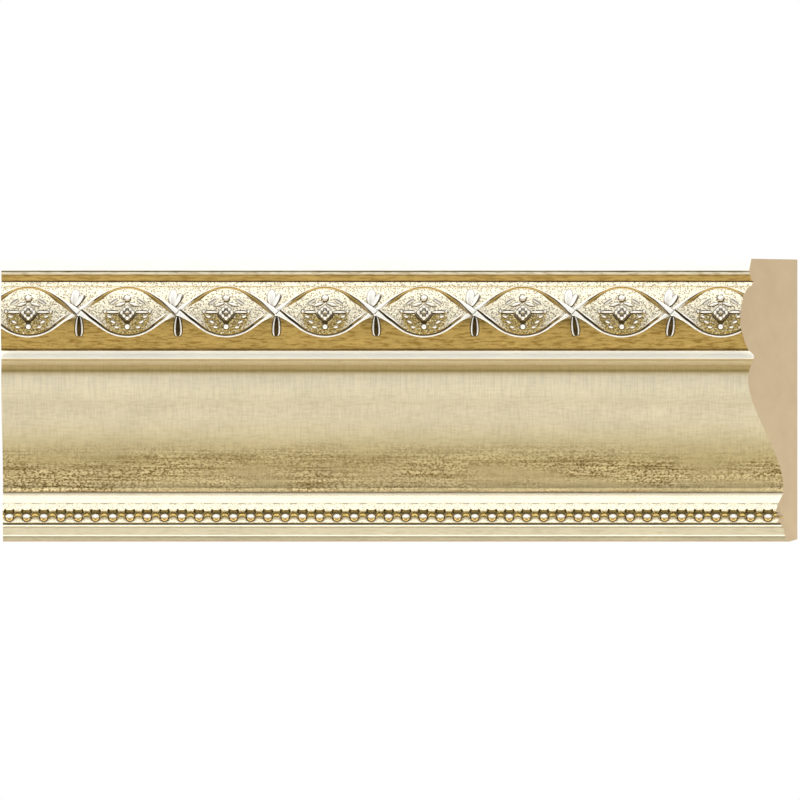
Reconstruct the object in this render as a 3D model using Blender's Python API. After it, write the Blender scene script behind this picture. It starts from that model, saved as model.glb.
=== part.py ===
"""Wall moulding with an interlaced band and a bead row, one solid, in metres.

The moulding runs along X. Its flat back is the plane y = 0, its front looks along -Y and Z is up.
The origin is the centre of the back. The left end is cut square. The right end is a 45 degree
mitre with the longer side at the back.
"""
import math

import bmesh
import bpy
from mathutils import Vector

# Driving sizes of the whole length.
HEIGHT = 0.1000
LENGTH = 0.2815
CROWN_DEPTH = 0.0210
END_SPARE = 0.0400

# Corners of the section, each as depth in front of the wall and height above the middle.
TOP_BACK = (0.0, HEIGHT / 2)
TOP_FRONT = (0.0170, HEIGHT / 2)
RIDGE = (0.01785, 0.04585)
QUIRK_TOP = (0.01685, 0.0423)
QUIRK = (0.0162, 0.0420)
BAND_TOP = (0.0169, 0.0405)
BAND_FOOT_HEIGHT = 0.0179
SLOPE_FOOT = (0.0161, 0.0160)
FILLET_FOOT = (0.0160, 0.0152)
COVE_TOP = (0.0162, 0.0141)
COVE_CROWN = (0.0182, 0.0078)
COVE_FOOT = (0.0052, -0.0310)
LIP_TOP = (0.0055, -0.0323)
LIP_FOOT = (0.0051, -0.0331)
BEAD_SLOPE_TOP = (0.0059, -0.0339)
BEAD_SLOPE_LINE = (0.0071, -0.0364)
BEAD_SEAT_TOP = (0.0078, -0.0388)
BEAD_SEAT_FOOT = (0.0074, -0.0430)
FOOT_STEP = (0.0060, -0.0440)
FOOT_FACE_TOP = (0.0053, -0.0448)
FOOT_FRONT = (0.0045, -HEIGHT / 2)
FOOT_BACK_FRONT = (0.0030, -HEIGHT / 2)
FOOT_BACK = (0.0, -0.0492)

# The round of the ornament band: an upper shoulder and a slower fall below the crown.
CROWN_HEIGHT = 0.0293
SHOULDER_POWER = 1.85
NECK_CURVE = 22.0
SHOULDER_STEPS = 6
NECK_STEPS = 4
COVE_CROWN_STEPS = 3
COVE_STEPS = 10

# Interlaced band: two ribbons that cross between the rosettes.
ROSETTE_COUNT = 8
ROSETTE_PITCH = 0.03484
FIRST_ROSETTE = -0.1311
BAND_MIDDLE = 0.0309
RIBBON_SWING = 0.0078
RIBBON_HALF_WIDTH = 0.0011
RIBBON_RISE = 0.00062
RIBBON_GROOVE = 0.00020
RIBBON_WEAVE = 0.00016
RIBBON_STEPS = 8
SINK = 0.0009
LUMP_FOOT_REACH = 1.25
LUMP_TOP_REACH = 0.68
LUMP_SHOULDER = 0.72

# Rosette.
RING_RADIUS = 0.0020
RING_HALF_WIDTH = 0.00062
RING_POINT = 0.14
RING_SIDES = 8
ROSETTE_RISE = 0.0010
BUD_OFFSET = 0.0057
BUD_RADIUS = 0.00145
FOOT_BUD_OFFSET = -0.0046
ARM_OFFSET = 0.0003
ARM_INNER = 0.0024
ARM_OUTER = 0.0083
ARM_HALF_WIDTH = 0.00062
ARM_RISE = 0.0006
UPPER_LEAF_OFFSET = (0.0058, 0.0033)
LOWER_LEAF_OFFSET = (0.0047, -0.0040)
LEAF_HALF_LENGTH = 0.0019
LEAF_HALF_WIDTH = 0.00085
LEAF_RISE = 0.0006

# Tie at each crossing: a bud of two lobes above and a grooved drop below.
LOBE_HALF_LENGTH = 0.0031
LOBE_HALF_WIDTH = 0.0011
LOBE_RISE = 0.0009
LOBE_HEIGHT = 0.0056
LOBE_SPREAD = 0.0013
DROP_TOP = -0.0012
DROP_FOOT = -0.0084
DROP_HALF_WIDTH = 0.0016
DROP_RISE = 0.0008

# Bead row.
BEAD_COUNT = 46
BEAD_PITCH = 0.00610
FIRST_BEAD = -0.1384
BEAD_HEIGHT = -0.0414
BEAD_SEAT_DEPTH = 0.0075
BEAD_RADIUS = 0.00155
BEAD_RISE = 0.0010
BEAD_TURN = math.radians(12)
STRING_HALF_HEIGHT = 0.0006
STRING_RISE = 0.0005

GILT = (0.71, 0.58, 0.35, 1.0)


def clear_scene():
    for thing in list(bpy.data.objects):
        bpy.data.objects.remove(thing)


def finish(name, colour, roughness, metallic):
    material = bpy.data.materials.new(name)
    material.use_nodes = True
    shader = material.node_tree.nodes["Principled BSDF"]
    shader.inputs["Base Color"].default_value = colour
    shader.inputs["Roughness"].default_value = roughness
    shader.inputs["Metallic"].default_value = metallic
    return material


def curve(start, pull_start, pull_end, end, steps):
    """Points of a smooth stretch after its start, up to its end."""
    points = []
    for step in range(1, steps + 1):
        t = step / steps
        weights = ((1 - t) ** 3, 3 * t * (1 - t) ** 2, 3 * t * t * (1 - t), t ** 3)
        corners = (start, pull_start, pull_end, end)
        points.append(tuple(sum(w * c[axis] for w, c in zip(weights, corners)) for axis in (0, 1)))
    return points


def band_depth(height):
    """Depth of the bare ornament band in front of the wall."""
    if height > CROWN_HEIGHT:
        share = min(1.0, (height - CROWN_HEIGHT) / (BAND_TOP[1] - CROWN_HEIGHT))
        round_share = (1 - share ** SHOULDER_POWER) ** (1 / SHOULDER_POWER)
        return BAND_TOP[0] + (CROWN_DEPTH - BAND_TOP[0]) * round_share
    fall = CROWN_HEIGHT - height
    return CROWN_DEPTH - NECK_CURVE * fall * fall


def section_outline():
    """The closed section as depth and height, from the back of the top round the front."""
    outline = [TOP_BACK, TOP_FRONT, RIDGE, QUIRK_TOP, QUIRK, BAND_TOP]
    for step in range(1, SHOULDER_STEPS + 1):
        turn = math.radians(90) * step / SHOULDER_STEPS
        height = CROWN_HEIGHT + (BAND_TOP[1] - CROWN_HEIGHT) * math.cos(turn)
        outline.append((band_depth(height), height))
    for step in range(1, NECK_STEPS + 1):
        height = CROWN_HEIGHT + (BAND_FOOT_HEIGHT - CROWN_HEIGHT) * step / NECK_STEPS
        outline.append((band_depth(height), height))
    outline += [SLOPE_FOOT, FILLET_FOOT, COVE_TOP]
    crown_pull = (COVE_CROWN[0], COVE_TOP[1] - 0.003)
    outline += curve(COVE_TOP, COVE_TOP, crown_pull, COVE_CROWN, COVE_CROWN_STEPS)
    upper_pull = (COVE_CROWN[0], COVE_CROWN[1] - 0.012)
    lower_pull = (COVE_FOOT[0], COVE_FOOT[1] + 0.013)
    outline += curve(COVE_CROWN, upper_pull, lower_pull, COVE_FOOT, COVE_STEPS)
    outline += [LIP_TOP, LIP_FOOT, BEAD_SLOPE_TOP, BEAD_SLOPE_LINE, BEAD_SEAT_TOP]
    outline += [BEAD_SEAT_FOOT, FOOT_STEP, FOOT_FACE_TOP, FOOT_FRONT, FOOT_BACK_FRONT, FOOT_BACK]
    return outline


def on_band(x, height, lift):
    """A point lifted off the ornament band along the band's own normal."""
    reach = 0.00005
    high = min(height + reach, BAND_TOP[1] - reach)
    slope = (band_depth(high) - band_depth(high - 2 * reach)) / (2 * reach)
    length = math.hypot(1.0, slope)
    depth = band_depth(height) + lift / length
    return Vector((x, -depth, height - lift * slope / length))


def on_bead_seat(x, height, lift):
    return Vector((x, -(BEAD_SEAT_DEPTH + lift), height))


def mesh_object(name, build, material):
    """An object from a function that fills a bmesh, with its faces turned outwards."""
    shape = bmesh.new()
    build(shape)
    bmesh.ops.recalc_face_normals(shape, faces=shape.faces)
    mesh = bpy.data.meshes.new(name)
    shape.to_mesh(mesh)
    shape.free()
    mesh.materials.append(material)
    thing = bpy.data.objects.new(name, mesh)
    bpy.context.collection.objects.link(thing)
    return thing


def stitch(shape, rings):
    """Join rings of equal length into a tube and cap both ends."""
    count = len(rings[0])
    for near, far in zip(rings, rings[1:]):
        for index in range(count):
            following = (index + 1) % count
            shape.faces.new((near[index], near[following], far[following], far[index]))
    shape.faces.new(rings[0])
    shape.faces.new(rings[-1])


def prism(shape, outline, start, end):
    rings = []
    for x in (start, end):
        rings.append([shape.verts.new((x, -depth, height)) for depth, height in outline])
    stitch(shape, rings)


def ribbon(shape, path, half_width, rise, groove):
    """A grooved ribbon along a path of x, height, width share and extra lift on the band."""
    rings = []
    for index, (x, height, share, extra) in enumerate(path):
        before = path[max(index - 1, 0)]
        after = path[min(index + 1, len(path) - 1)]
        along = Vector((after[0] - before[0], after[1] - before[1])).normalized()
        ring = []
        for side, lift in ((-1.0, -SINK), (-0.62, rise + extra), (0.0, groove + extra),
                           (0.62, rise + extra), (1.0, -SINK)):
            offset = side * half_width * share
            place = on_band(x - along.y * offset, height + along.x * offset, lift)
            ring.append(shape.verts.new(place))
        rings.append(ring)
    stitch(shape, rings)


def lump(shape, surface, x, height, half_width, half_height, rise, turn=0.0, sides=6):
    """A rounded lump whose foot is sunk below the surface that carries it."""
    rings = []
    for reach, lift in ((LUMP_FOOT_REACH, -SINK), (LUMP_TOP_REACH, rise * LUMP_SHOULDER)):
        ring = []
        for side in range(sides):
            angle = math.tau * side / sides
            across = half_width * reach * math.cos(angle)
            up = half_height * reach * math.sin(angle)
            place = surface(x + across * math.cos(turn) - up * math.sin(turn),
                            height + across * math.sin(turn) + up * math.cos(turn), lift)
            ring.append(shape.verts.new(place))
        rings.append(ring)
    foot, shoulder = rings
    for side in range(sides):
        following = (side + 1) % sides
        shape.faces.new((foot[side], foot[following], shoulder[following], shoulder[side]))
    shape.faces.new(foot)
    peak = shape.verts.new(surface(x, height, rise))
    for side in range(sides):
        shape.faces.new((shoulder[side], shoulder[(side + 1) % sides], peak))


def rosette_places():
    return [FIRST_ROSETTE + ROSETTE_PITCH * index for index in range(ROSETTE_COUNT)]


def tie_places():
    return [place + ROSETTE_PITCH / 2 for place in rosette_places()[:-1]]


def build_ribbon(shape, phase):
    """One of the two ribbons, which lies over the other where it falls to the right."""
    path = []
    steps = RIBBON_STEPS * (ROSETTE_COUNT + 1)
    start = FIRST_ROSETTE - ROSETTE_PITCH
    for step in range(steps + 1):
        x = start + ROSETTE_PITCH * step / RIBBON_STEPS
        angle = math.pi * step / RIBBON_STEPS + phase
        path.append((x, BAND_MIDDLE + RIBBON_SWING * math.cos(angle), 1.0,
                     RIBBON_WEAVE * math.sin(angle)))
    ribbon(shape, path, RIBBON_HALF_WIDTH, RIBBON_RISE, RIBBON_GROOVE)


def build_rings(shape):
    for centre in rosette_places():
        rings = []
        for side in range(RING_SIDES):
            angle = math.tau * side / RING_SIDES
            radius = RING_RADIUS * (1 + RING_POINT * math.cos(4 * angle))
            ring = []
            for edge, lift in ((-1.0, -SINK), (-0.6, ROSETTE_RISE), (0.6, ROSETTE_RISE), (1.0, -SINK)):
                reach = radius + edge * RING_HALF_WIDTH
                ring.append(shape.verts.new(on_band(centre + reach * math.cos(angle),
                                                    BAND_MIDDLE + reach * math.sin(angle), lift)))
            rings.append(ring)
        for index in range(RING_SIDES):
            near = rings[index]
            far = rings[(index + 1) % RING_SIDES]
            for corner in range(4):
                following = (corner + 1) % 4
                shape.faces.new((near[corner], near[following], far[following], far[corner]))


def build_buds(shape):
    for centre in rosette_places():
        lump(shape, on_band, centre, BAND_MIDDLE + BUD_OFFSET, BUD_RADIUS, BUD_RADIUS, ROSETTE_RISE, 0, 8)
        lump(shape, on_band, centre, BAND_MIDDLE + FOOT_BUD_OFFSET, BUD_RADIUS * 0.75, BUD_RADIUS * 0.85,
             ROSETTE_RISE * 0.9)


def build_arms(shape):
    for centre in rosette_places():
        for side in (-1, 1):
            middle = centre + side * (ARM_INNER + ARM_OUTER) / 2
            lump(shape, on_band, middle, BAND_MIDDLE + ARM_OFFSET, (ARM_OUTER - ARM_INNER) / 2,
                 ARM_HALF_WIDTH, ARM_RISE)


def build_leaves(shape):
    for centre in rosette_places():
        for side in (-1, 1):
            for offset, turn in ((UPPER_LEAF_OFFSET, -20), (LOWER_LEAF_OFFSET, 35)):
                lump(shape, on_band, centre + side * offset[0], BAND_MIDDLE + offset[1],
                     LEAF_HALF_LENGTH, LEAF_HALF_WIDTH, LEAF_RISE, math.radians(side * turn))


def build_lobes(shape, side):
    for centre in tie_places():
        lump(shape, on_band, centre + side * LOBE_SPREAD, BAND_MIDDLE + LOBE_HEIGHT,
             LOBE_HALF_WIDTH, LOBE_HALF_LENGTH, LOBE_RISE, math.radians(-14 - side * 8), 8)


def build_drops(shape):
    for centre in tie_places():
        path = []
        for share, width in ((0.0, 0.45), (0.3, 0.85), (0.65, 1.0), (1.0, 0.7)):
            path.append((centre, BAND_MIDDLE + DROP_TOP + (DROP_FOOT - DROP_TOP) * share, width, 0.0))
        ribbon(shape, path, DROP_HALF_WIDTH, DROP_RISE, RIBBON_GROOVE)


def build_beads(shape):
    for index in range(BEAD_COUNT):
        lump(shape, on_bead_seat, FIRST_BEAD + BEAD_PITCH * index, BEAD_HEIGHT, BEAD_RADIUS, BEAD_RADIUS,
             BEAD_RISE, BEAD_TURN)


def build_string(shape):
    """The cord that the beads are strung on."""
    outline = [(BEAD_SEAT_DEPTH - SINK, BEAD_HEIGHT - STRING_HALF_HEIGHT),
               (BEAD_SEAT_DEPTH - SINK, BEAD_HEIGHT + STRING_HALF_HEIGHT),
               (BEAD_SEAT_DEPTH + STRING_RISE, BEAD_HEIGHT + STRING_HALF_HEIGHT / 2),
               (BEAD_SEAT_DEPTH + STRING_RISE, BEAD_HEIGHT - STRING_HALF_HEIGHT / 2)]
    prism(shape, outline, -LENGTH / 2 - 1.2 * END_SPARE, LENGTH / 2 + 1.2 * END_SPARE)


def build_length_block(shape):
    """What the finished length keeps: square at the left, a 45 degree mitre at the right."""
    front = -CROWN_DEPTH * 2
    back = CROWN_DEPTH
    plan = [(-LENGTH / 2, back), (-LENGTH / 2, front), (LENGTH / 2 + front, front), (LENGTH / 2 + back, back)]
    rings = []
    for height in (-HEIGHT, HEIGHT):
        rings.append([shape.verts.new((x, y, height)) for x, y in plan])
    stitch(shape, rings)


def join(target, operation, tool):
    """Combine a helper with the moulding and keep the helper out of the finished model."""
    tool.hide_render = True
    tool.display_type = "WIRE"
    step = target.modifiers.new(tool.name, "BOOLEAN")
    step.operation = operation
    step.solver = "EXACT"
    step.object = tool


def main():
    clear_scene()
    gilt = finish("gilt_front", GILT, 0.35, 1.0)

    def build_body(shape):
        prism(shape, section_outline(), -LENGTH / 2 - END_SPARE, LENGTH / 2 + END_SPARE)

    moulding = mesh_object("wall_moulding", build_body, gilt)
    helpers = (
        ("ribbon_over", lambda shape: build_ribbon(shape, 0.0)),
        ("ribbon_under", lambda shape: build_ribbon(shape, math.pi)),
        ("rosette_rings", build_rings),
        ("rosette_arms", build_arms),
        ("rosette_buds", build_buds),
        ("rosette_leaves", build_leaves),
        ("tie_left_lobes", lambda shape: build_lobes(shape, -1)),
        ("tie_right_lobes", lambda shape: build_lobes(shape, 1)),
        ("tie_drops", build_drops),
        ("bead_string", build_string),
        ("beads", build_beads),
    )
    for name, build in helpers:
        join(moulding, "UNION", mesh_object(name, build, gilt))
    join(moulding, "INTERSECT", mesh_object("length_block", build_length_block, gilt))


main()
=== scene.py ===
import math

import bmesh
import bpy
import numpy as np
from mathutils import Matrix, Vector, noise


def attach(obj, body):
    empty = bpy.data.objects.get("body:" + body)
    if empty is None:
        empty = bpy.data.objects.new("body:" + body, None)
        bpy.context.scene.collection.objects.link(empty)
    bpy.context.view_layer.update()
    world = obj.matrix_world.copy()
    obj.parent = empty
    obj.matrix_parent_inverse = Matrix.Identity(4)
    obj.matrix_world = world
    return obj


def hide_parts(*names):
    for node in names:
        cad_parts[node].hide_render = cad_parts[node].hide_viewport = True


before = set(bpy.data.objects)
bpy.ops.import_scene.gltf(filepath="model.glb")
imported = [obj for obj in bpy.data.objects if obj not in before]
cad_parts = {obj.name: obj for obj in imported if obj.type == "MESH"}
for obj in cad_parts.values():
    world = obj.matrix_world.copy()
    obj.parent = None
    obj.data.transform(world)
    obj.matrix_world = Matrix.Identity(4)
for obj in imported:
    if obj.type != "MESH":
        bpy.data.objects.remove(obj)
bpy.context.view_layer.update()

MM = 0.001

# Length and section, in metres. Section corners are (depth in front of the wall, height).
HEIGHT = 100.0 * MM
LENGTH = 281.5 * MM
CROWN_DEPTH = 21.0 * MM
CROWN_HEIGHT = 29.3 * MM
SHOULDER_POWER = 1.85
NECK_CURVE = 22.0
TOP_BACK = (0.0, HEIGHT / 2)
TOP_FRONT = (17.0 * MM, HEIGHT / 2)
RIDGE = (17.85 * MM, 45.85 * MM)
RIDGE_GROOVE = (17.5 * MM, 45.5 * MM)
CREST_TOP = (17.7 * MM, 45.15 * MM)
CREST_FOOT = (16.85 * MM, 42.3 * MM)
QUIRK = (16.2 * MM, 42.0 * MM)
QUIRK_LIP = (16.5 * MM, 41.65 * MM)
BAND_TOP = (16.9 * MM, 40.5 * MM)
BAND_FOOT_HEIGHT = 17.9 * MM
SLOPE_FOOT = (16.1 * MM, 16.0 * MM)
FILLET_FOOT = (16.0 * MM, 15.2 * MM)
FIELD_TOP = (16.2 * MM, 14.1 * MM)
FIELD_CROWN = (18.2 * MM, 7.8 * MM)
FIELD_FOOT = (5.2 * MM, -31.0 * MM)
LIP_TOP = (5.5 * MM, -32.2 * MM)
LIP_GROOVE = (4.9 * MM, -32.75 * MM)
BEAD_SLOPE_TOP = (5.7 * MM, -33.7 * MM)
BEAD_SLOPE_LINE = (7.05 * MM, -36.3 * MM)
BEAD_BED_TOP = (6.4 * MM, -36.6 * MM)
BEAD_BED_FOOT = (5.9 * MM, -43.5 * MM)
FOOT_NOSE = (6.1 * MM, -43.95 * MM)
NOSE_FOOT = (5.85 * MM, -44.42 * MM)
FOOT_GROOVE = (5.3 * MM, -44.64 * MM)
FOOT_FACE_TOP = (5.3 * MM, -44.85 * MM)
FOOT_LINE_TOP = (4.72 * MM, -47.65 * MM)
FOOT_LINE = (4.5 * MM, -48.0 * MM)
FOOT_FRONT = (4.45 * MM, -HEIGHT / 2)
FOOT_BACK_FRONT = (3.0 * MM, -HEIGHT / 2)
FOOT_BACK = (0.0, -49.2 * MM)
CORNER_ROUND = 0.18 * MM
CUT_INSET = 0.02 * MM

# Lines of painted shade in the grooves and along the edges of the section: height, reach above, reach
# below, strength.
SHADE_LINES = (
    (45.50 * MM, 0.30 * MM, 0.35 * MM, 2.00),
    (44.20 * MM, 0.35 * MM, 0.35 * MM, 0.55),
    (42.02 * MM, 0.30 * MM, 0.30 * MM, 1.10),
    (38.4 * MM, 2.20 * MM, 4.50 * MM, 0.15),
    (17.80 * MM, 0.80 * MM, 0.30 * MM, 1.30),
    # The broad faint line here is painted shade in the groove under the fillet.
    (10.6 * MM, 1.50 * MM, 0.90 * MM, 0.20),
    (-32.6 * MM, 0.35 * MM, 0.25 * MM, 0.90),
    (-34.4 * MM, 0.30 * MM, 0.30 * MM, 0.24),
    (-43.68 * MM, 0.26 * MM, 0.46 * MM, 2.00),
    (-44.68 * MM, 0.25 * MM, 0.30 * MM, 0.85),
    (-48.25 * MM, 0.30 * MM, 0.40 * MM, 0.50),
)
# Stretches of the section where the foil is painted pale as highlight: top, foot, fade above, fade
# below, strength.
HIGHLIGHT_STRETCHES = (
    (41.9 * MM, 29.9 * MM, 0.1 * MM, 1.1 * MM, 1.0),
    (17.4 * MM, 14.7 * MM, 0.1 * MM, 0.15 * MM, 1.0),
    (8.4 * MM, 5.5 * MM, 1.8 * MM, 6.0 * MM, 0.5),
    (-32.7 * MM, -43.2 * MM, 0.1 * MM, 0.15 * MM, 0.9),
    (-43.9 * MM, -44.3 * MM, 0.1 * MM, 0.12 * MM, 1.0),
    (-47.65 * MM, -47.9 * MM, 0.1 * MM, 0.15 * MM, 0.8),
)

# Lowest height of each finish down the body's face, in millimetres. The foot's is the last. The ground
# finish is a painted highlight on the bevel above the ridge.
FINISH_FEET = ((45.85, "ground"), (42.0, "crest"), (17.6, "band"), (14.3, "fillet"), (-32.3, "field"),
               (-43.6, "slope"), (-50.0, "foot"))
# The finish's marks lie only on the face, which starts at this depth.
FACE_DEPTH = 3.5 * MM
SCUFF_TOP = -12.0 * MM
SCUFF_FADE = 14.0 * MM

# Interlaced band.
ROSETTE_COUNT = 8
ROSETTE_PITCH = 34.84 * MM
FIRST_ROSETTE = -131.1 * MM
BAND_MIDDLE = 31.0 * MM
RIBBON_SWING = 8.5 * MM
RIBBON_WEAVE = 0.24 * MM
RIBBON_SINK = 0.9 * MM

# Bead row.
BEAD_COUNT = 46
BEAD_PITCH = 6.10 * MM
FIRST_BEAD = -138.4 * MM
BEAD_HEIGHT = -41.5 * MM
BEAD_CENTRE_DEPTH = 6.9 * MM
BEAD_RADIUS = 1.45 * MM

# Bed of the bead row: heights of its edges and depth of its back, in millimetres, and its grid.
BED_TOP = -36.3
BED_FOOT = -43.25
BED_BACK = 5.0
BED_ROWS = 46
BED_COLUMNS = 1900

# Camera: square on to the front, as long as a catalogue lens, with the photo's margins.
PIXEL = HEIGHT / 282.0
FRAME_WIDTH = 800 * PIXEL
LENS_MM = 400.0
SENSOR_MM = 36.0
VIEW_CENTRE = Vector((-0.17 * MM, 0.0, 0.18 * MM))


# Section

def curve_points(start, pull_start, pull_end, end, steps):
    """Points of a smooth stretch after its start, up to its end."""
    t = np.linspace(0.0, 1.0, steps + 1)[1:, None]
    corners = [np.array(corner) for corner in (start, pull_start, pull_end, end)]
    points = ((1 - t) ** 3 * corners[0] + 3 * t * (1 - t) ** 2 * corners[1]
              + 3 * t * t * (1 - t) * corners[2] + t ** 3 * corners[3])
    return [tuple(point) for point in points]


def band_depth(height):
    """Depth of the bare ornament band at each height."""
    height = np.asarray(height, dtype=float)
    share = np.clip((height - CROWN_HEIGHT) / (BAND_TOP[1] - CROWN_HEIGHT), 0.0, 1.0)
    shoulder = (1 - share ** SHOULDER_POWER) ** (1 / SHOULDER_POWER)
    fall = np.minimum(height - CROWN_HEIGHT, 0.0)
    return np.where(height > CROWN_HEIGHT, BAND_TOP[0] + (CROWN_DEPTH - BAND_TOP[0]) * shoulder,
                    CROWN_DEPTH - NECK_CURVE * fall * fall)


def band_points():
    """The ornament band from its top to its foot."""
    steps = 64
    turn = np.linspace(0.0, math.pi / 2, steps)[1:]
    upper = CROWN_HEIGHT + (BAND_TOP[1] - CROWN_HEIGHT) * np.cos(turn)
    lower = np.linspace(CROWN_HEIGHT, BAND_FOOT_HEIGHT, steps // 2)[1:]
    heights = np.concatenate([upper, lower])
    return list(zip(band_depth(heights), heights))


def softened(outline, reach):
    """The outline with a small round in place of each sharp corner."""
    least_turn = math.radians(14)
    points = [np.array(point) for point in outline]
    result = []
    for index, point in enumerate(points):
        before = points[index - 1] - point
        after = points[(index + 1) % len(points)] - point
        before_length = np.linalg.norm(before)
        after_length = np.linalg.norm(after)
        bend = np.clip(-before.dot(after) / (before_length * after_length), -1, 1)
        if math.acos(bend) < least_turn or point[0] < MM:
            result.append(tuple(point))
            continue
        start = point + before / before_length * min(reach, before_length * 0.4)
        end = point + after / after_length * min(reach, after_length * 0.4)
        for t in np.linspace(0, 1, 6):
            result.append(tuple((1 - t) ** 2 * start + 2 * t * (1 - t) * point + t * t * end))
    return result


def densified(outline, longest):
    """The outline with extra points wherever two neighbours on its face are far apart."""
    result = []
    for point, following in zip(outline, outline[1:] + outline[:1]):
        result.append(point)
        gap = math.dist(point, following)
        if min(point[0], following[0]) > 4 * MM and gap > longest:
            for t in np.linspace(0, 1, math.ceil(gap / longest) + 1)[1:-1]:
                result.append(tuple((1 - t) * np.array(point) + t * np.array(following)))
    return result


def shade_at(heights):
    """How much painted shade lies on the plain section at each height."""
    result = np.zeros(len(heights))
    for height, above, below, strength in SHADE_LINES:
        away = np.where(heights > height, (heights - height) / above, (height - heights) / below)
        result = np.maximum(result, strength * np.clip(1 - away, 0, 1))
    return np.minimum(result, 1.0)


def highlight_at(heights):
    """How much painted highlight lies on the plain section at each height."""
    result = np.zeros(len(heights))
    for top, foot, fade_above, fade_below, strength in HIGHLIGHT_STRETCHES:
        beyond = np.maximum((heights - top) / fade_above, (foot - heights) / fade_below)
        result = np.maximum(result, strength * np.clip(1 - beyond, 0, 1))
    return result


def body_outline():
    """The closed section, from the back of the top round the front to the foot."""
    outline = [TOP_BACK, TOP_FRONT, RIDGE, RIDGE_GROOVE, CREST_TOP, CREST_FOOT]
    outline += [QUIRK, QUIRK_LIP, BAND_TOP]
    outline += band_points()
    outline += [SLOPE_FOOT, FILLET_FOOT, FIELD_TOP]
    outline += curve_points(FIELD_TOP, (FIELD_TOP[0] + 0.4 * MM, FIELD_TOP[1] - 1.0 * MM),
                            (FIELD_CROWN[0], FIELD_CROWN[1] + 3.0 * MM), FIELD_CROWN, 20)
    outline += curve_points(FIELD_CROWN, (FIELD_CROWN[0], FIELD_CROWN[1] - 12.0 * MM),
                            (FIELD_FOOT[0], FIELD_FOOT[1] + 13.0 * MM), FIELD_FOOT, 60)
    outline += [LIP_TOP, LIP_GROOVE, BEAD_SLOPE_TOP, BEAD_SLOPE_LINE, BEAD_BED_TOP, BEAD_BED_FOOT]
    outline += [FOOT_NOSE, NOSE_FOOT, FOOT_GROOVE, FOOT_FACE_TOP, FOOT_LINE_TOP, FOOT_LINE, FOOT_FRONT]
    outline += [FOOT_BACK_FRONT, FOOT_BACK]
    return densified(softened(outline, CORNER_ROUND), 0.3 * MM)


# Places on the band and cutting to length

def on_band(points):
    """Points (x, height above the band's middle, lift) laid on the curved band."""
    points = np.asarray(points, dtype=float)
    reach = 0.05 * MM
    height = BAND_MIDDLE + points[:, 1]
    high = np.minimum(height + reach, BAND_TOP[1] - 0.3 * MM)
    slope = (band_depth(high) - band_depth(high - 2 * reach)) / (2 * reach)
    slope = np.clip(slope, -2.5, 2.5)
    length = np.hypot(1.0, slope)
    depth = band_depth(height) + points[:, 2] / length
    return np.column_stack([points[:, 0], -depth, height - points[:, 2] * slope / length])


def read_points(mesh):
    places = np.zeros(len(mesh.vertices) * 3)
    mesh.vertices.foreach_get("co", places)
    return places.reshape(-1, 3)


def write_points(mesh, places):
    mesh.vertices.foreach_set("co", np.ascontiguousarray(places, dtype=float).ravel())
    mesh.update()


def store(mesh, label, values):
    """A number on every point of a mesh, for its material."""
    layer = mesh.attributes.get(label) or mesh.attributes.new(label, "FLOAT", "POINT")
    layer.data.foreach_set("value", np.asarray(values, dtype=np.float32))


def read_store(mesh, label):
    values = np.zeros(len(mesh.vertices), dtype=np.float32)
    if label in mesh.attributes:
        mesh.attributes[label].data.foreach_get("value", values)
    return values


def store_highlight(mesh, low=-0.12, high=0.25):
    """Painted highlight: pale where the surface faces up or stands high, and deep where it faces down or
    where the highlight is held back.
    """
    normals = np.zeros(len(mesh.vertices) * 3, dtype=np.float32)
    mesh.vertex_normals.foreach_get("vector", normals)
    facing_up = smooth_step((normals[2::3] - low) / (high - low))
    store(mesh, "rub_highlight", np.maximum(facing_up, read_store(mesh, "raised_highlight")) * (1 - read_store(mesh, "unhighlighted")))


def placed(name, data):
    """An object with the given data, put in the scene."""
    thing = bpy.data.objects.new(name, data)
    bpy.context.scene.collection.objects.link(thing)
    return thing


def face_outwards(mesh):
    shape = bmesh.new()
    shape.from_mesh(mesh)
    bmesh.ops.recalc_face_normals(shape, faces=shape.faces)
    shape.to_mesh(mesh)
    shape.free()


def lay_on_band(mesh):
    write_points(mesh, on_band(read_points(mesh)))


def smooth_step(value):
    value = np.clip(value, 0.0, 1.0)
    return value * value * (3 - 2 * value)


def cut_to_length(mesh):
    """Cut square at the left end and on the 45 degree mitre at the right, and close the cuts."""
    shape = bmesh.new()
    shape.from_mesh(mesh)
    bmesh.ops.recalc_face_normals(shape, faces=shape.faces)
    end = LENGTH / 2 - CUT_INSET
    planes = (((-end, 0, 0), (-1, 0, 0)), ((end, 0, 0), (1, -1, 0)))
    for place, normal in planes:
        cut = bmesh.ops.bisect_plane(shape, geom=shape.verts[:] + shape.edges[:] + shape.faces[:],
                                     plane_co=place, plane_no=Vector(normal).normalized(),
                                     clear_outer=True)
        edges = [part for part in cut["geom_cut"] if isinstance(part, bmesh.types.BMEdge)]
        if edges:
            bmesh.ops.holes_fill(shape, edges=edges, sides=0)
    shape.to_mesh(mesh)
    shape.free()
    mesh.update()


def bare_cuts(mesh, foam):
    """The sawn faces of a piece show the bare foam."""
    mesh.materials.append(foam)
    bare = len(mesh.materials) - 1
    mitre = Vector((1, -1, 0)).normalized()
    for face in mesh.polygons:
        place = face.center
        on_square_end = abs(place.x + LENGTH / 2) < 0.05 * MM and face.normal.x < -0.99
        on_mitre = abs(place.x - place.y - LENGTH / 2) < 0.05 * MM and face.normal.dot(mitre) > 0.99
        if on_square_end or on_mitre:
            face.material_index = bare


# Node trees

def add_node(tree, kind, settings=None, **inputs):
    """A node with its settings, its named inputs set to plain values or linked to outputs."""
    node = tree.nodes.new(kind)
    for label, value in (settings or {}).items():
        setattr(node, label, value)
    for label, value in inputs.items():
        target = node.inputs[label.replace("_", " ")]
        if isinstance(value, bpy.types.NodeSocket):
            tree.links.new(value, target)
        else:
            target.default_value = value
    return node


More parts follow.
